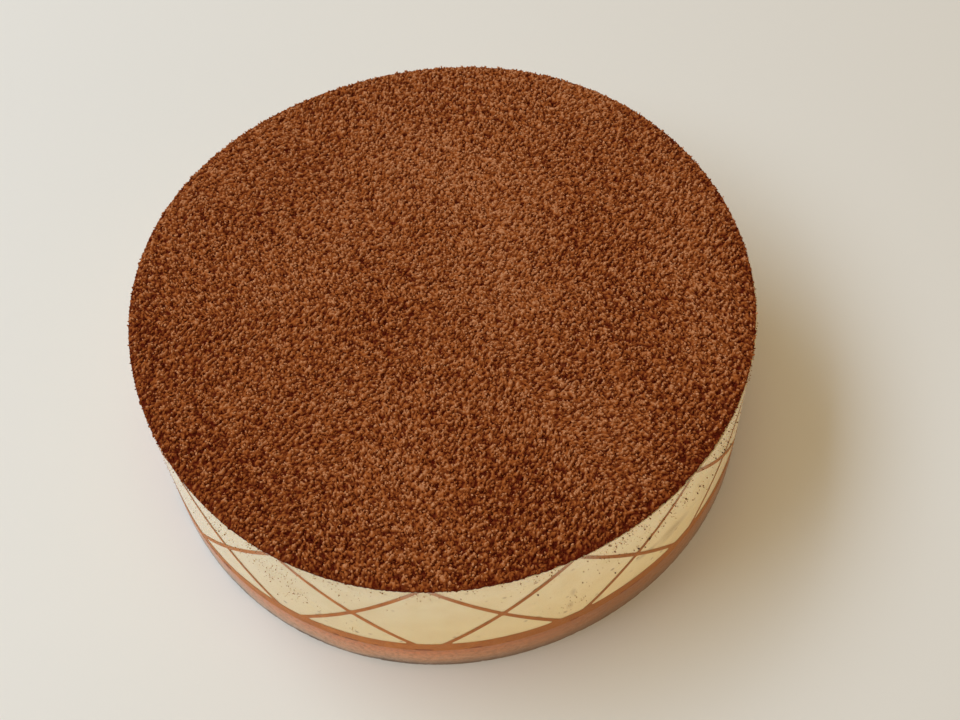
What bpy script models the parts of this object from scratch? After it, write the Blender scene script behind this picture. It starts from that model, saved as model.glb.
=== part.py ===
# Tiramisu mousse cake, whole and uncut: a coffee-soaked sponge base, a deep layer of mascarpone cream,
# a clear collar with a brown lattice printed on it, and coarse cocoa sifted right to the edge.
# Metres, +Z up. The origin is the middle of the underside, and the front of the cake faces -Y.
import math
import random

import bmesh
import bpy
from mathutils import Matrix, Vector, noise

MM = 0.001

# The cake as a whole
CAKE_RADIUS = 102 * MM
CAKE_HEIGHT = 59 * MM
# The ring mould is a little out of round: number of lobes, height of a lobe, bearing of the first one
LOBES = ((2, 0.77 * MM, 54), (3, 0.65 * MM, 35), (4, 0.59 * MM, -26))
GAP = 0.3 * MM  # between one piece and the next
WALL_SIDES = 84  # flats round a plain wall

# Layers, from the bottom up
SPONGE_TOP = 14.4 * MM
COCOA_UNDERSIDE = 57 * MM

# Collar: a band of clear film with its pattern standing proud of it
FILM_THICKNESS = 0.3 * MM
PRINT_THICKNESS = 0.3 * MM
FILM_FOOT = 0.4 * MM
FILM_INSET = PRINT_THICKNESS + GAP + FILM_THICKNESS
FILLING_INSET = FILM_INSET + GAP

# Pattern: diamonds of crossed lines that spring from a stripe
DIAMONDS = 14
DIAMOND_SIDES = WALL_SIDES // DIAMONDS
FIRST_DIAMOND = -97.75  # bearing of the lowest corner of one diamond, in degrees
LINE_WIDTH = 1.6 * MM
STRIPE_FOOT = 12.2 * MM
STRIPE_WIDTH = 5.0 * MM
LOW_CROSSING = 12.15 * MM  # height at which two lines meet, inside the stripe
PRINT_TOP = COCOA_UNDERSIDE - 2 * GAP

# Cocoa bed: clumped grains stand up as bumps of their own size
COCOA_RINGS = 36
GRAIN_RELIEF = 0.75 * MM
GRAIN_SHIFT = 0.30  # sideways, as a share of the spacing of the bumps
BED_WAVE = 0.25 * MM  # slow rise and fall of the whole bed
BED_WAVE_LENGTH = 38 * MM
EDGE_DROP = 0.9 * MM  # the bed rounds off at the rim
EDGE_RAGGED = 0.25 * MM
COCOA_SEED = 7


def round_point(bearing, radius, height=0.0):
    return Vector((radius * math.cos(bearing), radius * math.sin(bearing), height))


def press_out_of_round(bm):
    """Every piece is first made truly round. This stretches it to the shape that the mould gave the cake."""
    for vert in bm.verts:
        bearing = math.atan2(vert.co.y, vert.co.x)
        outline = CAKE_RADIUS
        for lobes, height, first in LOBES:
            outline += height * math.cos(lobes * (bearing - math.radians(first)))
        vert.co.x *= outline / CAKE_RADIUS
        vert.co.y *= outline / CAKE_RADIUS


def make_material(name, color, roughness, alpha=1.0):
    material = bpy.data.materials.new(name)
    material.use_nodes = True
    shader = material.node_tree.nodes["Principled BSDF"]
    shader.inputs["Base Color"].default_value = (*color, 1.0)
    shader.inputs["Roughness"].default_value = roughness
    shader.inputs["Metallic"].default_value = 0.0
    shader.inputs["Alpha"].default_value = alpha
    material.diffuse_color = (*color, alpha)
    return material


def make_object(name, bm, material, smooth_angle=40):
    """Turns a closed bmesh into a named object with outward faces, triangles only."""
    press_out_of_round(bm)
    bmesh.ops.triangulate(bm, faces=bm.faces[:])
    bmesh.ops.recalc_face_normals(bm, faces=bm.faces[:])
    mesh = bpy.data.meshes.new(name)
    bm.to_mesh(mesh)
    bm.free()
    mesh.materials.append(material)
    mesh.shade_smooth()
    mesh.set_sharp_from_angle(angle=math.radians(smooth_angle))
    cake_piece = bpy.data.objects.new(name, mesh)
    bpy.context.scene.collection.objects.link(cake_piece)
    return cake_piece


def filling_layer(name, foot, top, material):
    """A solid layer of the cake inside the collar."""
    bm = bmesh.new()
    radius = CAKE_RADIUS - FILLING_INSET
    bmesh.ops.create_cone(
        bm, cap_ends=True, segments=WALL_SIDES, radius1=radius, radius2=radius, depth=top - foot
    )
    bmesh.ops.translate(bm, verts=bm.verts[:], vec=(0, 0, (top + foot) / 2))
    ends = [face for face in bm.faces if len(face.verts) > 4]
    bmesh.ops.poke(bm, faces=ends)
    return make_object(name, bm, material)


def collar_film(material):
    """The clear band round the sponge and the cream: its section is spun about the cake's axis."""
    bm = bmesh.new()
    inner = CAKE_RADIUS - FILM_INSET
    outer = inner + FILM_THICKNESS
    corners = ((inner, FILM_FOOT), (outer, FILM_FOOT), (outer, PRINT_TOP), (inner, PRINT_TOP))
    section = [bm.verts.new((radius, 0, height)) for radius, height in corners]
    edges = [bm.edges.new((section[i - 1], section[i])) for i in range(len(section))]
    bmesh.ops.spin(
        bm,
        geom=section + edges,
        axis=(0, 0, 1),
        cent=(0, 0, 0),
        angle=math.tau,
        steps=WALL_SIDES,
        use_merge=True,
    )
    return make_object("collar_film", bm, material)


def in_pattern(across, height, repeat):
    """True where the collar is printed: in the stripe, or on a line of the lattice."""
    if height < STRIPE_FOOT + STRIPE_WIDTH:
        return True
    reach = LINE_WIDTH / math.sqrt(2)  # half a line's width, measured straight up
    crossings = (LOW_CROSSING, LOW_CROSSING + repeat)
    return any(abs(abs(height - level) - abs(across)) < reach for level in crossings)


def collar_print(material):
    """The brown stripe and lattice: one diamond is cut out flat, repeated, and wrapped round the cake."""
    repeat = 2 * math.pi * CAKE_RADIUS / DIAMONDS
    reach = LINE_WIDTH / math.sqrt(2)
    bm = bmesh.new()
    bmesh.ops.create_grid(bm, x_segments=DIAMOND_SIDES, y_segments=1, size=0.5)
    for vert in bm.verts:
        share_up = vert.co.y + 0.5
        vert.co = (vert.co.x * repeat, 0, STRIPE_FOOT + share_up * (PRINT_TOP - STRIPE_FOOT))

    cuts = [((0, 0, STRIPE_FOOT + STRIPE_WIDTH), (0, 0, 1))]
    for level in (LOW_CROSSING, LOW_CROSSING + repeat):
        for slope in (-1, 1):
            for side in (-reach, reach):
                cuts.append(((0, 0, level + side), (slope, 0, 1)))
    for point, normal in cuts:
        everything = bm.verts[:] + bm.edges[:] + bm.faces[:]
        bmesh.ops.bisect_plane(bm, geom=everything, dist=1e-7, plane_co=point, plane_no=normal)

    bare = []
    for face in bm.faces:
        middle = face.calc_center_median()
        if not in_pattern(middle.x, middle.z, repeat):
            bare.append(face)
    bmesh.ops.delete(bm, geom=bare, context="FACES")

    first = bm.verts[:] + bm.edges[:] + bm.faces[:]
    for step in range(1, DIAMONDS):
        copied = bmesh.ops.duplicate(bm, geom=first)
        copied_verts = [item for item in copied["geom"] if isinstance(item, bmesh.types.BMVert)]
        bmesh.ops.translate(bm, verts=copied_verts, vec=(step * repeat, 0, 0))
    for vert in bm.verts:
        bearing = math.radians(FIRST_DIAMOND) + vert.co.x / CAKE_RADIUS
        vert.co = round_point(bearing, CAKE_RADIUS - PRINT_THICKNESS, vert.co.z)
    bmesh.ops.remove_doubles(bm, verts=bm.verts[:], dist=0.01 * MM)

    raised = bmesh.ops.extrude_face_region(bm, geom=bm.faces[:])
    for vert in raised["geom"]:
        if isinstance(vert, bmesh.types.BMVert):
            vert.co += round_point(math.atan2(vert.co.y, vert.co.x), PRINT_THICKNESS)
    return make_object("collar_print", bm, material)


def cocoa_top(material):
    """The cocoa bed: a disc of even triangles whose points rise and fall as the clumped grains do."""
    rng = random.Random(COCOA_SEED)
    sixth = math.radians(60)
    spacing = CAKE_RADIUS / COCOA_RINGS
    bm = bmesh.new()
    # A hexagon of six triangles, with a corner at +X, is split into even small ones and then rounded off
    corner_at_x = Matrix.Rotation(sixth / 2, 4, "Z")
    bmesh.ops.create_circle(
        bm, cap_ends=True, cap_tris=True, segments=6, radius=1.0, matrix=corner_at_x
    )
    bmesh.ops.subdivide_edges(bm, edges=bm.edges[:], cuts=COCOA_RINGS - 1, use_grid_fill=True)

    rim = [vert for vert in bm.verts if vert.is_boundary]
    on_rim = set(rim)
    for vert in bm.verts:
        bearing = math.atan2(vert.co.y, vert.co.x) % math.tau
        corner = (bearing // sixth) * sixth
        from_middle = bearing - corner - sixth / 2
        share_out = vert.co.length * math.cos(from_middle) / math.cos(sixth / 2)
        share_along = 0.5 + 0.5 * math.tan(from_middle) / math.tan(sixth / 2)
        bearing = corner + share_along * sixth
        point = round_point(bearing, CAKE_RADIUS * share_out)
        wave = BED_WAVE * noise.noise(point / BED_WAVE_LENGTH)
        if vert in on_rim:
            point -= point.normalized() * rng.uniform(0, EDGE_RAGGED)
            point.z = CAKE_HEIGHT - EDGE_DROP - rng.uniform(0, EDGE_RAGGED)
        else:
            turn = rng.uniform(0, math.tau)
            shift = GRAIN_SHIFT * spacing * math.sqrt(rng.random())
            point += shift * Vector((math.cos(turn), math.sin(turn), 0))
            point.z = CAKE_HEIGHT + wave - GRAIN_RELIEF * rng.random()
        vert.co = point

    rim_edges = [edge for edge in bm.edges if edge.is_boundary]
    skirt = bmesh.ops.extrude_edge_only(bm, edges=rim_edges)
    for vert in skirt["geom"]:
        if isinstance(vert, bmesh.types.BMVert):
            vert.co.z = COCOA_UNDERSIDE
    open_edges = [edge for edge in bm.edges if edge.is_boundary]
    underside = bmesh.ops.contextual_create(bm, geom=open_edges)
    bmesh.ops.poke(bm, faces=underside["faces"])
    return make_object("cocoa_top", bm, material)


def build_cake():
    sponge = make_material("coffee_sponge", (0.33, 0.20, 0.13), 0.85)
    cream = make_material("mascarpone_cream", (0.78, 0.66, 0.42), 0.5)
    film = make_material("clear_film", (0.95, 0.95, 0.93), 0.1, alpha=0.15)
    ink = make_material("brown_print", (0.42, 0.15, 0.06), 0.4)
    cocoa = make_material("sifted_cocoa", (0.19, 0.065, 0.022), 0.95)
    filling_layer("sponge_base", 0.0, SPONGE_TOP, sponge)
    filling_layer("mascarpone_cream", SPONGE_TOP + GAP, COCOA_UNDERSIDE - GAP, cream)
    collar_film(film)
    collar_print(ink)
    cocoa_top(cocoa)


for old in list(bpy.data.objects):
    bpy.data.objects.remove(old, do_unlink=True)
build_cake()
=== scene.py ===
import math
import random

import bmesh
import bpy
import numpy as np
from mathutils import Matrix, Vector, noise


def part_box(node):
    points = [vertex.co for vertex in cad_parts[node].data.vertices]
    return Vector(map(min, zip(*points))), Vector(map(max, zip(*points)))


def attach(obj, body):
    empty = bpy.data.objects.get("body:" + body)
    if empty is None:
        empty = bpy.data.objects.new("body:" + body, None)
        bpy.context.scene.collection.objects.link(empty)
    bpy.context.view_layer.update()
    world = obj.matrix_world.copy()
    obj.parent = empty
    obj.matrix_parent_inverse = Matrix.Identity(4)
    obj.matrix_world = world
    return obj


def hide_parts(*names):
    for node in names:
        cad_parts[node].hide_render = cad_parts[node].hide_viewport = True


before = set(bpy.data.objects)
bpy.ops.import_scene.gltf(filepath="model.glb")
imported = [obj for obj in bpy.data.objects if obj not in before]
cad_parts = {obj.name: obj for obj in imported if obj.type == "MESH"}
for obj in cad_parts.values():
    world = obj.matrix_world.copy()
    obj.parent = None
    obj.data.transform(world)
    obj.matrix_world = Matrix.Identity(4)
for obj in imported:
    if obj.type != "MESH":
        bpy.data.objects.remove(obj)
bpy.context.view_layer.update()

mm = 0.001

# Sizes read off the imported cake, and the shape that its ring mould gave it
cake = {
    "radius": 102 * mm,
    "spongeTop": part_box("sponge_base")[1].z,
    "printFoot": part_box("collar_print")[0].z,
    # how many times each goes round, how far it stands out and the bearing of its first crest
    "lobes": ((2, 0.77 * mm, 54), (3, 0.65 * mm, 35), (4, 0.59 * mm, -26)),
}


# sRGB hex to the linear colour that a shader wants
def linear(code):
    channels = [int(code[i:i + 2], 16) / 255 for i in (1, 3, 5)]
    return [c / 12.92 if c <= 0.04045 else ((c + 0.055) / 1.055) ** 2.4 for c in channels] + [1.0]


# How far the mould stands out at a bearing, as a share of the round radius
def outlineShare(bearing):
    share = 1.0
    for lobes, height, first in cake["lobes"]:
        share = share + height / cake["radius"] * np.cos(lobes * (bearing - math.radians(first)))
    return share


def wallPoint(bearing, inset, z):
    radius = (cake["radius"] - inset) * outlineShare(bearing)
    return Vector((radius * math.cos(bearing), radius * math.sin(bearing), z))


def pressOutOfRound(bm):
    for vert in bm.verts:
        share = outlineShare(math.atan2(vert.co.y, vert.co.x))
        vert.co.x *= share
        vert.co.y *= share


def outwardFrom(point):
    return Vector((point.x, point.y, 0)).normalized()


# Sockets of a Mix node between two colours, which go by number
mixShare, mixFirst, mixSecond, mixResult = 0, 6, 7, 2


# A setting goes to the input of that name or number, or else to the node itself
def addNode(tree, kind, settings=None, links=None):
    node = tree.nodes.new(kind)
    for key, value in (settings or {}).items():
        if isinstance(key, int) or key in node.inputs:
            node.inputs[key].default_value = value
        else:
            setattr(node, key, value)
    for key, output in (links or {}).items():
        tree.links.new(output, node.inputs[key])
    return node


# A new ramp has two stops, which go to its ends; the others are added between them
def setStops(ramp, stops):
    elements = ramp.color_ramp.elements
    for element, (position, code) in zip(elements, (stops[0], stops[-1])):
        element.position = position
        element.color = linear(code)
    for position, code in stops[1:-1]:
        elements.new(position).color = linear(code)


def newMaterial(name):
    material = bpy.data.materials.new(name)
    material.use_nodes = True
    material.node_tree.nodes.clear()
    return material, material.node_tree


def addPiece(name, mesh, material, replaced=()):
    mesh.materials.append(material)
    mesh.shade_smooth()
    piece = bpy.data.objects.new(name, mesh)
    bpy.context.scene.collection.objects.link(piece)
    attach(piece, "root")
    if replaced:
        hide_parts(*replaced)
    print(f"{name}: {sum(len(p.vertices) - 2 for p in mesh.polygons)} triangles")


def vertsAmong(geometry):
    return [item for item in geometry if isinstance(item, bmesh.types.BMVert)]


def meshFrom(bm, name):
    bmesh.ops.recalc_face_normals(bm, faces=bm.faces[:])
    mesh = bpy.data.meshes.new(name)
    bm.to_mesh(mesh)
    bm.free()
    return mesh


# A plain round layer of filling, its wall cut fine enough to carry relief
def fillingBlock(foot, top, inset, columns, rows):
    bm = bmesh.new()
    radius = cake["radius"] - inset
    bmesh.ops.create_cone(
        bm, cap_ends=True, segments=columns, radius1=radius, radius2=radius, depth=top - foot
    )
    bmesh.ops.translate(bm, verts=bm.verts[:], vec=(0, 0, (top + foot) / 2))
    half = (top - foot) / 2
    upright = [edge for edge in bm.edges if abs(edge.verts[0].co.z - edge.verts[1].co.z) > half]
    bmesh.ops.subdivide_edges(bm, edges=upright, cuts=rows - 1)
    ends = [face for face in bm.faces if len(face.verts) > 4]
    bmesh.ops.poke(bm, faces=ends)
    pressOutOfRound(bm)
    return bm


# Mascarpone cream, set against the film

creamSettings = {
    "inset": 0.22 * mm,
    "top": 56.6 * mm,  # it stands as a pale lip round the cocoa
    "columns": 720,
    "rows": 36,
    "sharpAngle": 50,
    "sway": 0.10 * mm,  # the wall is not dead flat behind the film
    "swayLength": 14 * mm,
    "pitSpacing": 6.5 * mm,
    "pitRadius": 0.9 * mm,
    "pitDepth": 0.3 * mm,
    "footColour": "#FFE7AD",
    # the paler top colour is painted reflection of the film
    "topReflectionColour": "#FFEEC6",
    "cloudColour": "#F2D89C",
    "cloudLength": 9 * mm,
    "spotColour": "#A07848",  # cocoa that has bled into the cream
    "spotSpacing": 5 * mm,
    "stainAndShadeColour": "#A88A58",
    # bearing in degrees, height, half width, height over width and strength of each patch; the first three
    # are painted shade in a dent in the wall, the rest coffee stains
    "stainsAndShade": (
        (-56.5, 30.5 * mm, 6.5 * mm, 0.4, 0.6),
        (-51, 27.5 * mm, 5 * mm, 0.5, 0.35),
        (-49.5, 31 * mm, 10 * mm, 0.45, 0.55),
        (-72, 34 * mm, 1.6 * mm, 2.5, 0.4),
        (-72.5, 25 * mm, 1.8 * mm, 2.2, 0.35),
        (-67, 20 * mm, 4 * mm, 0.9, 0.3),
    ),
}


# Small dots where cocoa has bled in
def spotCream(tree, place, colour):
    s = creamSettings
    spots = addNode(tree, "ShaderNodeTexVoronoi", {"Scale": 1 / s["spotSpacing"]}, {"Vector": place})
    spotMask = addNode(
        tree,
        "ShaderNodeMapRange",
        {"From Min": 0.20, "From Max": 0.05, "To Max": 0.75, "interpolation_type": "SMOOTHSTEP"},
        {"Value": spots.outputs["Distance"]},
    )
    # Some of the spots are faint
    spotDepth = addNode(
        tree, "ShaderNodeMapRange", {"From Min": 0.25, "From Max": 0.7}, {"Value": spots.outputs["Color"]}
    )
    spotShare = addNode(
        tree, "ShaderNodeMath", {"operation": "MULTIPLY"}, {0: spotMask.outputs[0], 1: spotDepth.outputs[0]}
    )
    spotted = addNode(
        tree,
        "ShaderNodeMix",
        {"data_type": "RGBA", mixSecond: linear(s["spotColour"])},
        {mixShare: spotShare.outputs[0], mixFirst: colour},
    )
    return spotted.outputs[mixResult]


# Patches with a soft edge: where coffee has run in, and painted shade in a dent in the wall
def stainAndShadeCream(tree, place, colour):
    s = creamSettings
    for bearing, height, halfWidth, upright, strength in s["stainsAndShade"]:
        centre = wallPoint(math.radians(bearing), s["inset"], height)
        away = addNode(tree, "ShaderNodeVectorMath", {"operation": "SUBTRACT", 1: centre}, {0: place})
        evened = addNode(
            tree,
            "ShaderNodeVectorMath",
            {"operation": "MULTIPLY", 1: (1, 1, 1 / upright)},
            {0: away.outputs[0]},
        )
        distance = addNode(
            tree, "ShaderNodeVectorMath", {"operation": "LENGTH"}, {0: evened.outputs[0]}
        )
        stainAndShadeMask = addNode(
            tree,
            "ShaderNodeMapRange",
            {
                "From Min": halfWidth,
                "From Max": 0.0,
                "To Max": strength,
                "interpolation_type": "SMOOTHSTEP",
            },
            {"Value": distance.outputs["Value"]},
        )
        stainedAndShaded = addNode(
            tree,
            "ShaderNodeMix",
            {"data_type": "RGBA", mixSecond: linear(s["stainAndShadeColour"])},
            {mixShare: stainAndShadeMask.outputs[0], mixFirst: colour},
        )
        colour = stainedAndShaded.outputs[mixResult]
    return colour


def creamMaterial():
    # Mascarpone mousse, set in a mould: ivory with light scattered under its skin, and glossy because it
    # wets the film; paler towards the top with painted reflection, and with painted shade in a dent
    s = creamSettings
    material, tree = newMaterial("mascarponeMousse")
    place = addNode(tree, "ShaderNodeTexCoord").outputs["Object"]
    split = addNode(tree, "ShaderNodeSeparateXYZ", links={"Vector": place})
    # Paler towards the top: painted reflection of the film
    rise = addNode(
        tree,
        "ShaderNodeMapRange",
        {"From Min": cake["spongeTop"], "From Max": s["top"], "interpolation_type": "SMOOTHSTEP"},
        {"Value": split.outputs["Z"]},
    )
    byHeight = addNode(
        tree,
        "ShaderNodeMix",
        {"data_type": "RGBA", mixFirst: linear(s["footColour"]), mixSecond: linear(s["topReflectionColour"])},
        {mixShare: rise.outputs[0]},
    )
    cloud = addNode(
        tree, "ShaderNodeTexNoise", {"Scale": 1 / s["cloudLength"], "Detail": 3.0}, {"Vector": place}
    )
    cloudMask = addNode(
        tree,
        "ShaderNodeMapRange",
        {"From Min": 0.42, "From Max": 0.7, "To Max": 0.45},
        {"Value": cloud.outputs[0]},
    )
    clouded = addNode(
        tree,
        "ShaderNodeMix",
        {"data_type": "RGBA", mixSecond: linear(s["cloudColour"])},
        {mixShare: cloudMask.outputs[0], mixFirst: byHeight.outputs[mixResult]},
    )
    spotted = spotCream(tree, place, clouded.outputs[mixResult])
    stainedAndShaded = stainAndShadeCream(tree, place, spotted)
    shader = addNode(
        tree,
        "ShaderNodeBsdfPrincipled",
        {
            "Roughness": 0.35,
            "IOR": 1.4,
            "Coat Weight": 0.8,
            "Coat Roughness": 0.12,
            "Coat IOR": 1.48,
            "Subsurface Weight": 0.2,
            "Subsurface Radius": (2.0, 1.4, 0.8),
            "Subsurface Scale": 1 * mm,
        },
        {"Base Color": stainedAndShaded},
    )
    addNode(tree, "ShaderNodeOutputMaterial", links={"Surface": shader.outputs[0]})
    return material


def makeCream():
    s = creamSettings
    bm = fillingBlock(cake["spongeTop"], s["top"], s["inset"], s["columns"], s["rows"])
    for vert in bm.verts:
        sway = s["sway"] * (noise.noise(vert.co / s["swayLength"]) - 0.5)  # mostly away from the film
        distance = noise.voronoi(vert.co / s["pitSpacing"])[0][0] * s["pitSpacing"]
        pit = s["pitDepth"] * max(0.0, 1 - distance / s["pitRadius"]) ** 0.5  # round at the bottom
        vert.co += outwardFrom(vert.co) * (sway - pit)
    mesh = meshFrom(bm, "mascarponeCream")
    addPiece("mascarponeCream", mesh, creamMaterial(), ["mascarpone_cream"])
    mesh.set_sharp_from_angle(angle=math.radians(s["sharpAngle"]))


# Coffee sponge, pressed flat against the film with its pores open

spongeSettings = {
    "inset": 0.21 * mm,
    "columns": 900,
    "rows": 24,
    "sharpAngle": 50,
    "poreLength": 1.3 * mm,
    "poreDepth": 0.3 * mm,
    "poreFrom": 0.1,  # where the noise is under this there is no pore
    # share of the way up to the stripe, and the colour there
    "colours": (
        # the darkest, at the very bottom, is painted contact shade
        (0.04, "#65503F"),
        (0.16, "#CEAC94"),
        (0.3, "#D6A380"),
        (0.5, "#E0A27A"),
        (0.86, "#E28E5A"),
        (1.0, "#CE7E48"),
    ),
    "colourShift": 0.7 * mm,  # they wander up and down by this much
    "shiftLength": 12 * mm,
    "rightShadeColour": "#8B531F",  # painted shade: darker towards the right, the side away from the window
    "poreColour": "#7C4C30",
    # painted contact shade along the foot, darkest from the middle to the right
    "footColour": "#7A5B45",
    "footShadeTop": 5 * mm,
    "footShadeFull": 1.5 * mm,
}


# Painted contact shade: the foot is darker from the middle to the right
def paintFootShade(tree, across, level, colour):
    s = spongeSettings
    toRight = addNode(
        tree,
        "ShaderNodeMapRange",
        {"From Min": -0.4 * cake["radius"], "From Max": -0.15 * cake["radius"], "To Max": 0.6},
        {"Value": across},
    )
    atFoot = addNode(
        tree,
        "ShaderNodeMapRange",
        {"From Min": s["footShadeTop"], "From Max": s["footShadeFull"]},
        {"Value": level},
    )
    footShadeMask = addNode(
        tree, "ShaderNodeMath", {"operation": "MULTIPLY"}, {0: toRight.outputs[0], 1: atFoot.outputs[0]}
    )
    footShaded = addNode(
        tree,
        "ShaderNodeMix",
        {"data_type": "RGBA", mixSecond: linear(s["footColour"])},
        {mixShare: footShadeMask.outputs[0], mixFirst: colour},
    )
    return footShaded.outputs[mixResult]


def spongeMaterial():
    # Sponge fingers soaked in coffee: damp brown with fine open pores, greyer at the foot; painted shade
    # darkens the very foot and the right side
    s = spongeSettings
    material, tree = newMaterial("soakedSponge")
    place = addNode(tree, "ShaderNodeTexCoord").outputs["Object"]
    split = addNode(tree, "ShaderNodeSeparateXYZ", links={"Vector": place})
    uneven = addNode(
        tree, "ShaderNodeTexNoise", {"Scale": 1 / s["shiftLength"], "Detail": 3.0}, {"Vector": place}
    )
    shift = addNode(
        tree,
        "ShaderNodeMapRange",
        {"From Min": 0.3, "From Max": 0.7, "To Min": -s["colourShift"], "To Max": s["colourShift"]},
        {"Value": uneven.outputs[0]},
    )
    level = addNode(
        tree, "ShaderNodeMath", {"operation": "ADD"}, {0: split.outputs["Z"], 1: shift.outputs[0]}
    )
    rise = addNode(
        tree,
        "ShaderNodeMapRange",
        {"From Min": 0.0, "From Max": cake["printFoot"]},
        {"Value": level.outputs[0]},
    )
    ramp = addNode(tree, "ShaderNodeValToRGB", links={0: rise.outputs[0]})
    setStops(ramp, s["colours"])
    # Painted shade: darker towards the right, away from the window
    rightShadeMask = addNode(
        tree,
        "ShaderNodeMapRange",
        {"From Min": -0.2 * cake["radius"], "From Max": 0.45 * cake["radius"], "To Max": 0.84},
        {"Value": split.outputs["X"]},
    )
    rightShaded = addNode(
        tree,
        "ShaderNodeMix",
        {"data_type": "RGBA", mixSecond: linear(s["rightShadeColour"])},
        {mixShare: rightShadeMask.outputs[0], mixFirst: ramp.outputs[0]},
    )
    pores = addNode(
        tree,
        "ShaderNodeTexNoise",
        {"Scale": 1 / s["poreLength"], "Detail": 4.0, "Roughness": 0.6},
        {"Vector": place},
    )
    poreMask = addNode(
        tree,
        "ShaderNodeMapRange",
        {"From Min": 0.42, "From Max": 0.72, "To Max": 0.5},
        {"Value": pores.outputs[0]},
    )
    mottled = addNode(
        tree,
        "ShaderNodeMix",
        {"data_type": "RGBA", mixSecond: linear(s["poreColour"])},
        {mixShare: poreMask.outputs[0], mixFirst: rightShaded.outputs[mixResult]},
    )
    footShaded = paintFootShade(tree, split.outputs["X"], level.outputs[0], mottled.outputs[mixResult])
    shader = addNode(
        tree,
        "ShaderNodeBsdfPrincipled",
        {"Roughness": 0.35, "IOR": 1.45},
        {"Base Color": footShaded},
    )
    addNode(tree, "ShaderNodeOutputMaterial", links={"Surface": shader.outputs[0]})
    return material


def makeSponge():
    s = spongeSettings
    bm = fillingBlock(0.0, cake["spongeTop"], s["inset"], s["columns"], s["rows"])
    for vert in bm.verts:
        pore = max(0.0, noise.noise(vert.co / s["poreLength"]) - s["poreFrom"]) * s["poreDepth"]
        vert.co -= outwardFrom(vert.co) * pore
    mesh = meshFrom(bm, "coffeeSponge")
    addPiece("coffeeSponge", mesh, spongeMaterial(), ["sponge_base"])
    mesh.set_sharp_from_angle(angle=math.radians(s["sharpAngle"]))


# Brown lattice and stripe, printed on the inner face of the film

printSettings = {
    "diamonds": 14,
    "firstDiamond": -97.75,  # bearing of the lowest corner of one diamond, in degrees
    "lineWidth": 1.6 * mm,
    "stripeFoot": 12.2 * mm,
    "stripeTop": 17.1 * mm,
    "lowCrossing": 12.15 * mm,
    "top": 56.5 * mm,
    "steepness": 1.013,  # the diamonds are a touch taller than wide
    "lean": 0.016,  # and the strip was wound on a little askew
    "sag": 2.0 * mm,  # its foot has slipped down round this bearing
    "sagAt": -150,
    "sagWidth": 22,
    "inset": 0.20 * mm,
    "inkDepth": 0.04 * mm,
    "cutSlack": 1e-7,  # a corner this near to a cut lies on it
    "weld": 0.01 * mm,  # joins the copies side by side
    "sharpAngle": 40,
    "bendsEach": 26,  # flats that one diamond is bent into
    "crossingRound": 0.7 * mm,  # ink gathers in the corners
    "stripeRound": 1.9 * mm,
    "wedgeRound": 1.9 * mm / 3,  # for the narrow bare places between two diamonds
    "arcSteps": 5,
    "inkColours": ("#D5853D", "#BB6E30"),
    "patchLength": 4 * mm,
    "rightShadeInkColour": "#8C541A",  # painted shade: the ink is darker towards the right, away from the window
    "dashColour": "#7A2E12",
    "dashLength": 7 * mm,
    "dashTop": 1.3 * mm,
    "dashFull": 0.5 * mm,
}


# A closed flat outline with each corner turned on its own radius; corners are (across, up)
def roundedLoop(bm, corners, radii, steps):
    verts = []
    for i, corner in enumerate(corners):
        here = Vector(corner)
        before = (Vector(corners[i - 1]) - here).normalized()
        after = (Vector(corners[(i + 1) % len(corners)]) - here).normalized()
        half = before.angle(after) / 2
        centre = here + (before + after).normalized() * radii[i] / math.sin(half)
        start = here + before * radii[i] / math.tan(half) - centre
        end = here + after * radii[i] / math.tan(half) - centre
        for step in range(steps + 1):
            spoke = start.lerp(end, step / steps).normalized() * radii[i]
            verts.append(bm.verts.new((centre.x + spoke.x, 0, centre.y + spoke.y)))
    return [bm.edges.new((verts[i - 1], verts[i])) for i in range(len(verts))]


# Dark dashes along the foot of the stripe
def dashFoot(tree, place, height, colour):
    s = printSettings
    foot = addNode(
        tree,
        "ShaderNodeMapRange",
        {"From Min": s["stripeFoot"] + s["dashTop"], "From Max": s["stripeFoot"] + s["dashFull"]},
        {"Value": height},
    )
    dashes = addNode(
        tree,
        "ShaderNodeTexNoise",
        {"Scale": 1 / s["dashLength"], "Detail": 4.0, "Roughness": 0.7},
        {"Vector": place},
    )
    dashMask = addNode(
        tree,
        "ShaderNodeMapRange",
        {"From Min": 0.52, "From Max": 0.6, "To Max": 0.8},
        {"Value": dashes.outputs[0]},
    )
    both = addNode(
        tree, "ShaderNodeMath", {"operation": "MULTIPLY"}, {0: foot.outputs[0], 1: dashMask.outputs[0]}
    )
    dashed = addNode(
        tree,
        "ShaderNodeMix",
        {"data_type": "RGBA", mixSecond: linear(s["dashColour"])},
        {mixShare: both.outputs[0], mixFirst: colour},
    )
    return dashed.outputs[mixResult]


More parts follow.
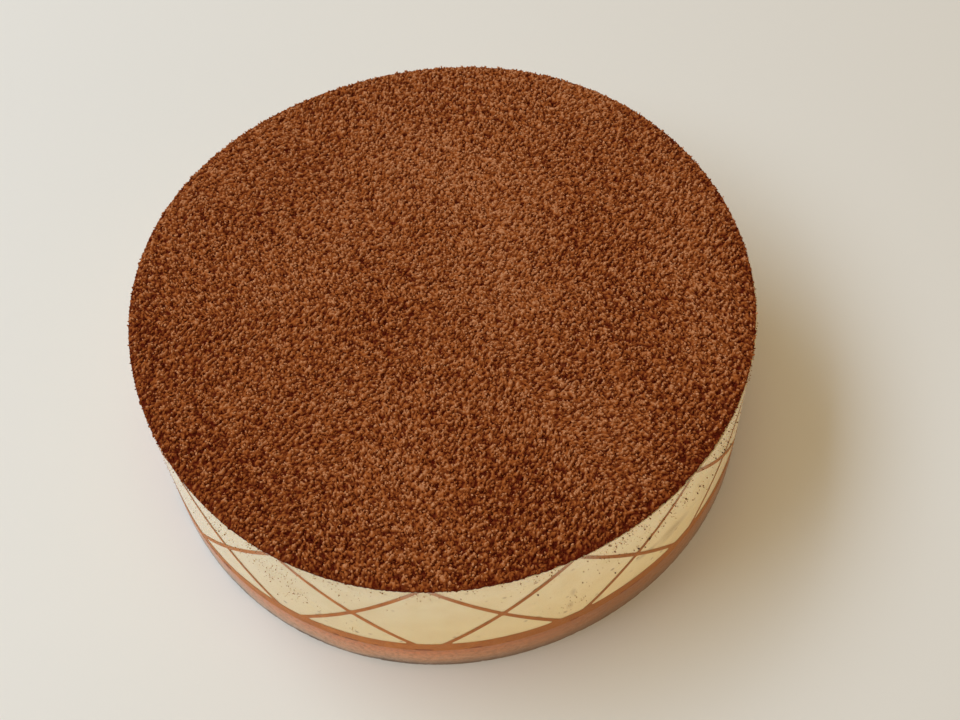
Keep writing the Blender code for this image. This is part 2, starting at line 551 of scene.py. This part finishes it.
def printMaterial():
    # Cocoa-butter transfer print: opaque orange-brown ink behind the film, patchy where it is thin, with
    # painted shade towards the right
    s = printSettings
    material, tree = newMaterial("transferPrint")
    place = addNode(tree, "ShaderNodeTexCoord").outputs["Object"]
    patch = addNode(
        tree,
        "ShaderNodeTexNoise",
        {"Scale": 1 / s["patchLength"], "Detail": 3.0, "Roughness": 0.6},
        {"Vector": place},
    )
    patchMask = addNode(
        tree, "ShaderNodeMapRange", {"From Min": 0.3, "From Max": 0.7}, {"Value": patch.outputs[0]}
    )
    thin, full = s["inkColours"]
    ink = addNode(
        tree,
        "ShaderNodeMix",
        {"data_type": "RGBA", mixFirst: linear(thin), mixSecond: linear(full)},
        {mixShare: patchMask.outputs[0]},
    )
    split = addNode(tree, "ShaderNodeSeparateXYZ", links={"Vector": place})
    # Painted shade: the ink is darker towards the right, away from the window
    inkShadeMask = addNode(
        tree,
        "ShaderNodeMapRange",
        {"From Min": -0.3 * cake["radius"], "From Max": 0.35 * cake["radius"], "To Max": 0.65},
        {"Value": split.outputs["X"]},
    )
    inkShaded = addNode(
        tree,
        "ShaderNodeMix",
        {"data_type": "RGBA", mixSecond: linear(s["rightShadeInkColour"])},
        {mixShare: inkShadeMask.outputs[0], mixFirst: ink.outputs[mixResult]},
    )
    dashed = dashFoot(tree, place, split.outputs["Z"], inkShaded.outputs[mixResult])
    shader = addNode(
        tree,
        "ShaderNodeBsdfPrincipled",
        {"Roughness": 0.6, "Specular IOR Level": 0.2},
        {"Base Color": dashed},
    )
    addNode(tree, "ShaderNodeOutputMaterial", links={"Surface": shader.outputs[0]})
    return material


# A sheet of ink laid flat, larger than one repeat of the pattern, with its bare places left out
def drawSheet(bm, repeat):
    s = printSettings
    reach = s["lineWidth"] / math.sqrt(2)  # half a line's width, measured straight up
    low, stripeTop, stripeFoot = s["lowCrossing"], s["stripeTop"], s["stripeFoot"]
    middle, high = low + repeat / 2, low + repeat
    edges = roundedLoop(
        bm,
        [(-repeat, stripeFoot), (repeat, stripeFoot), (repeat, high + repeat), (-repeat, high + repeat)],
        [reach / 2] * 4,
        1,
    )
    # Bare diamond over the crossing, whose foot is cut off by the stripe
    footHalf = stripeTop - low - reach
    side = repeat / 2 - reach
    foot = [(-footHalf, stripeTop), (footHalf, stripeTop)]
    edges += roundedLoop(
        bm,
        foot + [(side, middle), (0, high - reach), (-side, middle)],
        [s["stripeRound"]] * 2 + [s["crossingRound"]] * 3,
        s["arcSteps"],
    )
    for across in (-repeat / 2, repeat / 2):
        # Bare triangle on the stripe between two diamonds, and the diamond above their crossing
        wide = middle - reach - stripeTop
        edges += roundedLoop(
            bm,
            [(across - wide, stripeTop), (across + wide, stripeTop), (across, middle - reach)],
            [s["wedgeRound"]] * 2 + [s["crossingRound"]],
            s["arcSteps"],
        )
        edges += roundedLoop(
            bm,
            [(across, middle + reach), (across + side, high), (across, high + side), (across - side, high)],
            [s["crossingRound"]] * 4,
            s["arcSteps"],
        )
    bmesh.ops.triangle_fill(bm, use_beauty=True, use_dissolve=False, edges=edges)


# A trim takes away what lies beyond the cut, on the side that the normal points to
def cutSheet(bm, point, normal, trim=False):
    bmesh.ops.bisect_plane(
        bm,
        geom=bm.verts[:] + bm.edges[:] + bm.faces[:],
        dist=printSettings["cutSlack"],
        plane_co=point,
        plane_no=normal,
        clear_outer=trim,
    )


# The print goes up a little askew and slips down at its foot on the way round the wall
def windOnWall(bm):
    s = printSettings
    low = s["lowCrossing"]
    for vert in bm.verts:
        rise = (vert.co.z - low) * s["steepness"]
        along = vert.co.x + rise * s["lean"]
        bearing = math.radians(s["firstDiamond"]) + along / cake["radius"]
        fromSag = math.remainder(bearing - math.radians(s["sagAt"]), math.tau)
        slipped = s["sag"] * math.exp(-((fromSag / math.radians(s["sagWidth"])) ** 2))
        slipped *= 1 - rise / (s["top"] - low)
        vert.co = wallPoint(bearing, s["inset"], low + rise - slipped)


def makePrint():
    s = printSettings
    repeat = 2 * math.pi * cake["radius"] / s["diamonds"]
    bm = bmesh.new()
    drawSheet(bm, repeat)
    cutSheet(bm, (0, 0, s["top"] / s["steepness"]), (0, 0, 1), trim=True)
    cutSheet(bm, (repeat / 2, 0, 0), (1, 0, 0), trim=True)
    cutSheet(bm, (-repeat / 2, 0, 0), (-1, 0, 0), trim=True)
    for bend in range(1, s["bendsEach"]):
        cutSheet(bm, ((bend / s["bendsEach"] - 0.5) * repeat, 0, 0), (1, 0, 0))
    first = bm.verts[:] + bm.edges[:] + bm.faces[:]
    for step in range(1, s["diamonds"]):
        copied = vertsAmong(bmesh.ops.duplicate(bm, geom=first)["geom"])
        bmesh.ops.translate(bm, verts=copied, vec=(step * repeat, 0, 0))
    windOnWall(bm)
    bmesh.ops.remove_doubles(bm, verts=bm.verts[:], dist=s["weld"])
    for vert in vertsAmong(bmesh.ops.extrude_face_region(bm, geom=bm.faces[:])["geom"]):
        vert.co += outwardFrom(vert.co) * s["inkDepth"]
    mesh = meshFrom(bm, "latticePrint")
    addPiece("latticePrint", mesh, printMaterial(), ["collar_print"])
    mesh.set_sharp_from_angle(angle=math.radians(s["sharpAngle"]))


# Clear film round the wall, its ends lapped at the back

filmSettings = {
    "inset": 0.11 * mm,
    "thickness": 0.12 * mm,
    "foot": 0.1 * mm,
    "top": 56.7 * mm,
    "columns": 540,
    "rows": 6,
    "sharpAngle": 40,
    "seam": 96,  # bearing of its inner end, in degrees, out of sight at the back
    "lap": 14 * mm,
    "lapStep": 0.16 * mm,
    "veilFrom": 48 * mm,
    "veilTo": 55 * mm,
    "edgeGlint": 0.5 * mm,  # painted highlight: the cut edge glints white
    "colour": "#FFF8EC",
    "patchLength": 16 * mm,  # the veil comes and goes over this length
    "clear": 0.015,  # alpha below the veil
}


def filmMaterial():
    # Acetate strip, calendered: clear, with a white veil that thickens towards its top edge, partly milky
    # bloom and partly painted reflection, and a painted highlight along its cut edge
    s = filmSettings
    material, tree = newMaterial("acetateStrip")
    place = addNode(tree, "ShaderNodeTexCoord").outputs["Object"]
    split = addNode(tree, "ShaderNodeSeparateXYZ", links={"Vector": place})
    # The veil thickens towards the top: partly milky bloom, partly painted reflection
    rise = addNode(
        tree,
        "ShaderNodeMapRange",
        {"From Min": s["veilFrom"], "From Max": s["veilTo"], "interpolation_type": "SMOOTHSTEP"},
        {"Value": split.outputs["Z"]},
    )
    patch = addNode(
        tree, "ShaderNodeTexNoise", {"Scale": 1 / s["patchLength"], "Detail": 2.0}, {"Vector": place}
    )
    thick = addNode(
        tree,
        "ShaderNodeMapRange",
        {"From Min": 0.3, "From Max": 0.7, "To Min": 0.05, "To Max": 0.11},
        {"Value": patch.outputs[0]},
    )
    veil = addNode(
        tree,
        "ShaderNodeMath",
        {"operation": "MULTIPLY_ADD", 2: s["clear"]},
        {0: rise.outputs[0], 1: thick.outputs[0]},
    )
    # Painted highlight: the cut top edge glints white
    edgeGlint = addNode(
        tree,
        "ShaderNodeMapRange",
        {"From Min": s["top"] - s["edgeGlint"], "From Max": s["top"], "To Max": 0.12},
        {"Value": split.outputs["Z"]},
    )
    veilAndGlint = addNode(
        tree, "ShaderNodeMath", {"operation": "ADD"}, {0: veil.outputs[0], 1: edgeGlint.outputs[0]}
    )
    shader = addNode(
        tree,
        "ShaderNodeBsdfPrincipled",
        {"Base Color": linear(s["colour"]), "Roughness": 0.2, "IOR": 1.48},
        {"Alpha": veilAndGlint.outputs[0]},
    )
    addNode(tree, "ShaderNodeOutputMaterial", links={"Surface": shader.outputs[0]})
    return material


def makeFilm():
    s = filmSettings
    length = 2 * math.pi * cake["radius"] + s["lap"]
    bm = bmesh.new()
    # A plate one unit long, wide and thick is measured out along the wall
    bmesh.ops.create_grid(bm, x_segments=s["columns"], y_segments=s["rows"], size=0.5)
    bmesh.ops.solidify(bm, geom=bm.faces[:], thickness=1.0)
    outer = max(vert.co.z for vert in bm.verts)
    for vert in bm.verts:
        along = (vert.co.x + 0.5) * length
        z = s["foot"] + (vert.co.y + 0.5) * (s["top"] - s["foot"])
        lapped = min(1.0, max(0.0, (along - length + 2 * s["lap"]) / s["lap"]))
        inset = s["inset"] - s["lapStep"] * lapped
        if vert.co.z > outer - 0.5:
            inset -= s["thickness"]
        vert.co = wallPoint(math.radians(s["seam"]) + along / cake["radius"], inset, z)
    mesh = meshFrom(bm, "acetateCollar")
    addPiece("acetateCollar", mesh, filmMaterial(), ["collar_film"])
    mesh.set_sharp_from_angle(angle=math.radians(s["sharpAngle"]))


# Sifted cocoa: a rough bed, closely set with grains that stand and sink in small clumps

cocoaSettings = {
    "rings": 180,
    "bedInset": 0.15 * mm,
    "edgeInset": 0.25 * mm,
    "spill": 0.45 * mm,  # the bed reaches further out round this bearing
    "spillAt": -135,
    "ragged": 0.5 * mm,  # its edge is most uneven round this one
    "raggedAt": -45,
    "raggedLeast": 0.3,  # share of that which is left opposite
    "foot": 56.5 * mm,
    "bedTop": 58.5 * mm,
    "bedShake": 0.3,  # share of its spacing that a corner of the bed's mesh is moved by
    "bedSeed": 5,
    # height, length, and length over width
    "clumps": ((1.2 * mm, 0.62 * mm, 1.3), (0.85 * mm, 1.55 * mm, 2.8)),
    "clumpsAt": 44,  # the long ones run along this bearing
    "waveHeight": 0.15 * mm,
    "waveLength": 38 * mm,
    "edgeRound": 4 * mm,  # the bed falls away over this width at the rim
    "edgeDrop": 1.1 * mm,
    "backDrop": 0.9 * mm,
    "edgeCalm": 0.5,  # share of the clumps' height that is lost at the very rim
    "spacing": 0.98 * mm,
    "gridSpare": 1.2,  # rows of grains lie closer than columns, so it takes more of them
    "shake": 0.34,
    "lift": 0.25 * mm,
    "stretch": ((1.1, 1.6), (0.8, 1.05), (0.7, 0.95)),
    "tilt": 0.5,  # the grains lie nearly flat
    "tone": 0.375,
    "bedTone": 0.35,
    "shadeByHeight": 1.0 / mm,  # painted light and shade: grains that stand up are paler, and those lying low darker
    "paleBack": 0.5,  # and the top is paler towards the back and the right, by this much for each metre
    "paleRight": 0.5,
    "dryPatch": 0.08,
    "patchLength": 9 * mm,
    "dryShare": 0.11,
    # the top grows darker towards its rim all round, by this much at the rim
    "rimDarkening": 0.09,
    "rimShade": 0.25,  # painted shade on the rim, darkest round this bearing, away from the window
    "rimShadeAt": -30,
    "rimShadeWidth": 9 * mm,
    "edgeShade": 0.03,  # share of the edge drop that the painted shade by height takes in, darkening the grains there
    "seed": 41,
    # tone, and the colour there; the dark end is painted shade in the hollows, the pale end painted light
    # on the peaks
    "colours": ((0.05, "#561000"), (0.5, "#AA5E29"), (0.95, "#D19368")),
    "dustColour": "#904B24",
    "dustLength": 0.5 * mm,
}

# Size of the grains of each kind, across; a kind with a count is strewn over the closely set ones
grainKinds = {
    "cocoaGrainsCoarse": {"least": 0.72 * mm, "most": 0.90 * mm},
    "cocoaGrainsLarge": {"least": 0.63 * mm, "most": 0.72 * mm},
    "cocoaGrainsMiddle": {"least": 0.54 * mm, "most": 0.63 * mm},
    "cocoaGrainsSmall": {"least": 0.46 * mm, "most": 0.54 * mm},
    "cocoaGrainsLoose": {"least": 0.38 * mm, "most": 0.62 * mm, "count": 8800, "raised": 0.15 * mm},
}


def cocoaReach(bearing):
    s = cocoaSettings
    spill = s["spill"] * np.maximum(0, np.cos(bearing - math.radians(s["spillAt"])))
    return (cake["radius"] - s["edgeInset"] + spill) * outlineShare(bearing)


# How far in from there a grain may stop short
def unevenness(bearing):
    s = cocoaSettings
    toward = np.maximum(0, np.cos(bearing - math.radians(s["raggedAt"])))
    return s["ragged"] * (s["raggedLeast"] + (1 - s["raggedLeast"]) * toward)


# From 0 on the flat of the top to 1 at the very rim
def nearEdge(x, y):
    s = cocoaSettings
    toEdge = np.maximum(0, cocoaReach(np.arctan2(y, x)) - np.hypot(x, y))
    return np.maximum(0, 1 - toEdge / s["edgeRound"]) ** 2


def edgeFall(x, y):
    s = cocoaSettings
    atBack = np.maximum(0, np.sin(np.arctan2(y, x)))
    return (s["edgeDrop"] + (s["backDrop"] - s["edgeDrop"]) * atBack) * nearEdge(x, y)


def bedHeight(x, y):
    s = cocoaSettings
    here = Vector((x, y, 0))
    turned = Matrix.Rotation(-math.radians(s["clumpsAt"]), 3, "Z") @ here
    clump = 0
    for height, length, drawn in s["clumps"]:
        drawnOut = Vector((turned.x / math.sqrt(drawn), turned.y * math.sqrt(drawn), 0))
        clump += height * noise.noise(drawnOut / length)
    clump *= 1 - s["edgeCalm"] * nearEdge(x, y)
    wave = s["waveHeight"] * noise.noise(here / s["waveLength"])
    return max(s["foot"], s["bedTop"] + clump + wave - edgeFall(x, y))


# How much paler a place is: painted light where it stands out of the bed and painted shade where it lies
# low, paler towards the back and right and in patches, darker towards the rim, and painted shade on the rim
# away from the window
def placeToneAndShade(x, y, z):
    s = cocoaSettings
    bearing, out = np.arctan2(y, x), np.hypot(x, y)
    # Painted light and shade: higher places paler, lower ones darker
    toneValues = s["shadeByHeight"] * (z - s["bedTop"] + (1 - s["edgeShade"]) * edgeFall(x, y))
    toneValues += s["paleBack"] * y + s["paleRight"] * x
    spots = zip(x / s["patchLength"], y / s["patchLength"])
    toneValues += s["dryPatch"] * np.array([noise.noise((*spot, 0)) for spot in spots])
    # Painted shade on the rim, on the side away from the window
    side = s["rimShade"] * np.maximum(0, np.cos(bearing - math.radians(s["rimShadeAt"])))
    nearRim = np.maximum(0, 1 - np.maximum(0, cocoaReach(bearing) - out) / s["rimShadeWidth"])
    return toneValues - s["rimDarkening"] * (out / cake["radius"]) ** 2 - side * nearRim


def cocoaMaterial():
    # Cocoa powder, sifted coarse: dead matt grains, tan on top and dark between, with painted light on the
    # peaks and painted shade in the hollows
    s = cocoaSettings
    material, tree = newMaterial("siftedCocoa")
    place = addNode(tree, "ShaderNodeTexCoord").outputs["Object"]
    tone = addNode(tree, "ShaderNodeAttribute", {"attribute_name": "tone"})
    ramp = addNode(tree, "ShaderNodeValToRGB", links={0: tone.outputs["Fac"]})
    setStops(ramp, s["colours"])
    dust = addNode(
        tree, "ShaderNodeTexNoise", {"Scale": 1 / s["dustLength"], "Detail": 2.0}, {"Vector": place}
    )
    dustMask = addNode(
        tree,
        "ShaderNodeMapRange",
        {"From Min": 0.4, "From Max": 0.7, "To Max": 0.3},
        {"Value": dust.outputs[0]},
    )
    dusted = addNode(
        tree,
        "ShaderNodeMix",
        {"data_type": "RGBA", mixSecond: linear(s["dustColour"])},
        {mixShare: dustMask.outputs[0], mixFirst: ramp.outputs[0]},
    )
    shader = addNode(
        tree,
        "ShaderNodeBsdfPrincipled",
        {"Roughness": 0.95, "Specular IOR Level": 0.1},
        {"Base Color": dusted.outputs[mixResult]},
    )
    addNode(tree, "ShaderNodeOutputMaterial", links={"Surface": shader.outputs[0]})
    return material


def setTone(mesh, values):
    tone = mesh.attributes.new("tone", "FLOAT", "POINT")
    tone.data.foreach_set("value", np.clip(values, 0, 1).astype(np.float32))


def makeBed(material):
    s = cocoaSettings
    rng = random.Random(s["bedSeed"])
    sixth = math.radians(60)
    bm = bmesh.new()
    # A hexagon of six triangles is split into even small ones and then rounded off
    cornerAtX = Matrix.Rotation(sixth / 2, 4, "Z")
    bmesh.ops.create_circle(
        bm, cap_ends=True, cap_tris=True, segments=6, radius=1.0, matrix=cornerAtX
    )
    bmesh.ops.subdivide_edges(bm, edges=bm.edges[:], cuts=s["rings"] - 1, use_grid_fill=True)
    spacing = cake["radius"] / s["rings"]
    for vert in bm.verts:
        bearing = math.atan2(vert.co.y, vert.co.x) % math.tau
        corner = (bearing // sixth) * sixth
        fromMiddle = bearing - corner - sixth / 2
        shareOut = vert.co.length * math.cos(fromMiddle) / math.cos(sixth / 2)
        shareAlong = 0.5 + 0.5 * math.tan(fromMiddle) / math.tan(sixth / 2)
        bearing = corner + shareAlong * sixth
        ragged = rng.uniform(0, 1) if vert.is_boundary else 0.5
        reach = cocoaReach(bearing) - unevenness(bearing) * ragged - s["bedInset"]
        point = Vector((math.cos(bearing), math.sin(bearing), 0)) * reach * shareOut
        if not vert.is_boundary:
            shake = s["bedShake"]
            point += Vector((rng.uniform(-shake, shake), rng.uniform(-shake, shake), 0)) * spacing
        point.z = bedHeight(point.x, point.y)
        vert.co = point
    rim = [edge for edge in bm.edges if edge.is_boundary]
    for vert in vertsAmong(bmesh.ops.extrude_edge_only(bm, edges=rim)["geom"]):
        vert.co.z = s["foot"]
    openEdges = [edge for edge in bm.edges if edge.is_boundary]
    underside = bmesh.ops.contextual_create(bm, geom=openEdges)["faces"]
    bmesh.ops.poke(bm, faces=underside)
    mesh = meshFrom(bm, "cocoaBed")
    x, y, z = np.array([vert.co[:] for vert in mesh.vertices]).T
    setTone(mesh, s["bedTone"] + placeToneAndShade(x, y, np.maximum(z, s["bedTop"] - s["edgeDrop"])))
    addPiece("cocoaBed", mesh, material, ["cocoa_top"])


# Each joined mesh of grains has this many shapes of lump, whose corners stand in or out by a share
lumpSettings = {"shapes": 8, "knobs": (0.7, 1.25)}


# Knobbly little lumps one unit across, as arrays of points, and the triangles that they all share
def grainShapes(seed, stretch):
    rng = random.Random(seed)
    shapes = []
    for _ in range(lumpSettings["shapes"]):
        bm = bmesh.new()
        bmesh.ops.create_icosphere(bm, subdivisions=1, radius=0.5)
        for vert in bm.verts:
            vert.co *= rng.uniform(*lumpSettings["knobs"])
        bmesh.ops.scale(bm, verts=bm.verts[:], vec=[rng.uniform(*ends) for ends in stretch])
        shapes.append(np.array([vert.co[:] for vert in bm.verts]))
        triangles = np.array([[vert.index for vert in face.verts] for face in bm.faces])
        bm.free()
    return np.array(shapes), triangles


# One mesh with a lump of its own size and turn at each place; a tilt of 1 turns them any way up
def joinGrains(name, places, sizes, toneValues, seed, stretch, tilt):
    rng = np.random.default_rng(seed)
    shapes, triangles = grainShapes(seed, stretch)
    count = len(places)
    turns = rng.normal(size=(count, 4)) * (1, tilt, tilt, 1)
    turns /= np.linalg.norm(turns, axis=1)[:, None]
    w, x, y, z = turns.T
    spin = np.stack(
        [
            1 - 2 * (y * y + z * z), 2 * (x * y - z * w), 2 * (x * z + y * w),
            2 * (x * y + z * w), 1 - 2 * (x * x + z * z), 2 * (y * z - x * w),
            2 * (x * z - y * w), 2 * (y * z + x * w), 1 - 2 * (x * x + y * y),
        ],
        axis=1,
    ).reshape(count, 3, 3)
    lumps = shapes[rng.integers(0, len(shapes), count)] * sizes[:, None, None]
    points = np.einsum("nij,nkj->nki", spin, lumps) + places[:, None, :]
    corners = triangles[None] + (np.arange(count) * shapes.shape[1])[:, None, None]
    mesh = bpy.data.meshes.new(name)
    mesh.vertices.add(points.size // 3)
    mesh.vertices.foreach_set("co", points.ravel())
    mesh.loops.add(corners.size)
    mesh.loops.foreach_set("vertex_index", corners.ravel())
    mesh.polygons.add(corners.size // 3)
    mesh.polygons.foreach_set("loop_start", np.arange(0, corners.size, 3))
    mesh.update(calc_edges=True)
    setTone(mesh, np.repeat(toneValues, shapes.shape[1]))
    return mesh


# Places on an even triangular grid over the whole top, each shaken out of line
def closeSet(rng):
    s = cocoaSettings
    half = int(cake["radius"] / s["spacing"] * s["gridSpare"]) + 2
    column, row = np.meshgrid(np.arange(-half, half + 1), np.arange(-half, half + 1))
    x = (column + 0.5 * (row % 2)).ravel() * s["spacing"]
    y = row.ravel() * s["spacing"] * math.sqrt(3) / 2
    x = x + rng.uniform(-s["shake"], s["shake"], x.size) * s["spacing"]
    y = y + rng.uniform(-s["shake"], s["shake"], y.size) * s["spacing"]
    bearing = np.arctan2(y, x)
    inside = np.hypot(x, y) < cocoaReach(bearing) - unevenness(bearing) * rng.uniform(0, 1, x.size)
    return x[inside], y[inside]


def scattered(rng, count):
    bearings = rng.uniform(-math.pi, math.pi, count)
    reach = cocoaReach(bearings) * np.sqrt(rng.uniform(0, 1, count))
    return reach * np.cos(bearings), reach * np.sin(bearings)


def makeGrains(material):
    s = cocoaSettings
    rng = np.random.default_rng(s["seed"])
    x, y = closeSet(rng)
    closeKinds = sum("count" not in kind for kind in grainKinds.values())
    shares = np.array_split(rng.permutation(x.size), closeKinds)
    for name, kind in grainKinds.items():
        if "count" in kind:
            across, along = scattered(rng, kind["count"])
        else:
            share = shares.pop()
            across, along = x[share], y[share]
        sizes = rng.uniform(kind["least"], kind["most"], across.size)
        ground = np.array([bedHeight(*spot) for spot in zip(across, along)])
        lift = rng.uniform(-s["lift"], s["lift"], across.size) + kind.get("raised", 0)
        heights = ground + lift
        toneValues = s["tone"] + placeToneAndShade(across, along, heights)
        toneValues += rng.uniform(-s["dryShare"], s["dryShare"], across.size)
        places = np.stack([across, along, heights], axis=1)
        mesh = joinGrains(name, places, sizes, toneValues, s["seed"], s["stretch"], s["tilt"])
        addPiece(name, mesh, material)


# Cocoa dust caught on the outside of the film

speckSettings = {
    "least": 0.22 * mm,
    "most": 0.48 * mm,
    "dark": 0.7 * mm,  # specks of this size are as dark as damp cocoa, and smaller ones paler
    "stretch": ((0.9, 1.3), (0.9, 1.1), (0.7, 0.9)),
    # bearing in degrees, height, reach, count and largest speck of each drift at the front
    "drifts": (
        (-137, 48 * mm, 5 * mm, 34, 0.50 * mm),
        (-124, 46 * mm, 6 * mm, 90, 0.42 * mm),
        (-120, 34 * mm, 5 * mm, 50, 0.38 * mm),
        (-111, 23 * mm, 1.2 * mm, 10, 0.34 * mm),
        (-110, 53 * mm, 4 * mm, 24, 0.36 * mm),
        (-98, 55 * mm, 2 * mm, 14, 0.40 * mm),
        (-81, 54 * mm, 6 * mm, 22, 0.36 * mm),
        (-72.5, 28 * mm, 4 * mm, 30, 0.40 * mm),
        (-67.5, 40 * mm, 9 * mm, 8, 0.75 * mm),
        (-64, 52 * mm, 6 * mm, 56, 0.55 * mm),
        (-55, 42 * mm, 5 * mm, 12, 0.95 * mm),
        (-56, 46 * mm, 6 * mm, 70, 0.50 * mm),
        (-49, 46 * mm, 6 * mm, 40, 0.50 * mm),
        (-36, 44 * mm, 8 * mm, 64, 0.70 * mm),
    ),
    # those at the sides and the back, with their bearings, their heights and reaches in millimetres
    "otherDrifts": 24,
    "otherBearings": (-25, 215),
    "otherHeights": (30, 55),
    "otherReaches": (3, 8),
    "otherCount": 16,
    "underRim": 240,
    "rimDepth": 2.5 * mm,
    "foot": 17.5 * mm,
    "top": 56.5 * mm,
    "standOut": 0.1 * mm,
    "tilt": 1.0,
    "seed": 23,
    "darkColour": "#523014",
    "paleColour": "#B88444",
}


def speckMaterial():
    # Cocoa dust gone damp on the film: olive brown where it is thin, dark in the larger grains
    s = speckSettings
    material, tree = newMaterial("wettedCocoa")
    tone = addNode(tree, "ShaderNodeAttribute", {"attribute_name": "tone"})
    shade = addNode(
        tree,
        "ShaderNodeMix",
        {"data_type": "RGBA", mixFirst: linear(s["darkColour"]), mixSecond: linear(s["paleColour"])},
        {mixShare: tone.outputs["Fac"]},
    )
    shader = addNode(
        tree, "ShaderNodeBsdfPrincipled", {"Roughness": 0.8}, {"Base Color": shade.outputs[mixResult]}
    )
    addNode(tree, "ShaderNodeOutputMaterial", links={"Surface": shader.outputs[0]})
    return material


def makeSpecks():
    s = speckSettings
    rng = np.random.default_rng(s["seed"])
    drifts = list(s["drifts"])
    for _ in range(s["otherDrifts"]):
        bearing = rng.uniform(*s["otherBearings"])
        height = rng.uniform(*s["otherHeights"]) * mm
        reach = rng.uniform(*s["otherReaches"]) * mm
        drifts.append((bearing, height, reach, s["otherCount"], s["most"]))
    bearings = [rng.uniform(-math.pi, math.pi, s["underRim"])]
    heights = [s["top"] - rng.exponential(s["rimDepth"], s["underRim"])]
    sizes = [rng.uniform(s["least"], s["most"], s["underRim"])]
    for bearing, height, reach, count, largest in drifts:
        bearings.append(math.radians(bearing) + rng.normal(0, reach / cake["radius"], count))
        heights.append(rng.normal(height, reach, count))
        sizes.append(s["least"] + (largest - s["least"]) * rng.uniform(0, 1, count) ** 2)
    bearings, heights, sizes = (np.concatenate(values) for values in (bearings, heights, sizes))
    heights = s["top"] - np.abs(s["top"] - heights)  # none stands over the film's top
    onCream = heights > s["foot"]
    bearings, heights, sizes = bearings[onCream], heights[onCream], sizes[onCream]
    places = np.array([wallPoint(b, -s["standOut"], z)[:] for b, z in zip(bearings, heights)])
    toneValues = 1 - (sizes - s["least"]) / (s["dark"] - s["least"])
    mesh = joinGrains("cocoaSpecks", places, sizes, toneValues, s["seed"], s["stretch"], s["tilt"])
    addPiece("cocoaSpecks", mesh, speckMaterial())


# Camera, light and floor

viewSettings = {
    "place": (0.0, -0.27316, 0.44252),  # 520 mm from the middle of the base, 58 degrees up
    "right": (0.9955888, -0.0885321, -0.0310656),
    "up": (0.0912397, 0.8363727, 0.5405146),
    "lens": 54.55,
}

studioSettings = {
    "floorSize": 6.0,
    "floorColour": "#ECEAE6",
    "ambientColour": "#B8A686",
    "ambientStrength": 0.9,
}

# Both face the middle of the cake's underside
softLights = {
    "window": {
        "place": (-1.13, 0.30, 1.5),
        "width": 2.2,
        "height": 0.8,
        "power": 29.5,
        "colour": "#DEEEFF",
    },
    "fill": {
        "place": (1.46, -1.02, 0.25),
        "width": 1.2,
        "height": 0.4,
        "power": 6.2,
        "colour": "#FFE9CB",
    },
}


def addSoftLight(name, place, width, height, power, colour):
    light = bpy.data.lights.new(name, "AREA")
    light.shape = "RECTANGLE"
    light.size = width
    light.size_y = height
    light.energy = power
    light.color = linear(colour)[:3]
    lamp = bpy.data.objects.new(name, light)
    lamp.location = place
    lamp.rotation_euler = (-Vector(place)).to_track_quat("-Z", "Y").to_euler()
    bpy.context.scene.collection.objects.link(lamp)


def makeStudio():
    s = studioSettings
    bm = bmesh.new()
    bmesh.ops.create_grid(bm, x_segments=1, y_segments=1, size=s["floorSize"] / 2)
    mesh = bpy.data.meshes.new("floor")
    bm.to_mesh(mesh)
    bm.free()
    material, tree = newMaterial("paleFloor")
    shader = addNode(
        tree, "ShaderNodeBsdfPrincipled", {"Base Color": linear(s["floorColour"]), "Roughness": 0.6}
    )
    addNode(tree, "ShaderNodeOutputMaterial", links={"Surface": shader.outputs[0]})
    mesh.materials.append(material)
    floor = bpy.data.objects.new("floor", mesh)
    bpy.context.scene.collection.objects.link(floor)

    world = bpy.data.worlds.new("studio")
    world.use_nodes = True
    sky = world.node_tree.nodes["Background"]
    sky.inputs["Color"].default_value = linear(s["ambientColour"])
    sky.inputs["Strength"].default_value = s["ambientStrength"]
    bpy.context.scene.world = world

    for name, values in softLights.items():
        addSoftLight(name, **values)
    bpy.context.scene.view_settings.view_transform = "Standard"
    print("studio: floor, window and fill")


def makeCamera():
    s = viewSettings
    right, up = Vector(s["right"]).normalized(), Vector(s["up"]).normalized()
    facing = Matrix((right, up, right.cross(up))).transposed().to_4x4()
    lens = bpy.data.cameras.new("camera")
    lens.lens = s["lens"]
    lens.sensor_width = 36.0
    camera = bpy.data.objects.new("camera", lens)
    camera.matrix_world = Matrix.Translation(s["place"]) @ facing
    bpy.context.scene.collection.objects.link(camera)
    bpy.context.scene.camera = camera
    print("camera: in place")


makeCamera()
makeStudio()
makeSponge()
makeCream()
makePrint()
makeFilm()
cocoa = cocoaMaterial()
makeBed(cocoa)
makeGrains(cocoa)
makeSpecks()
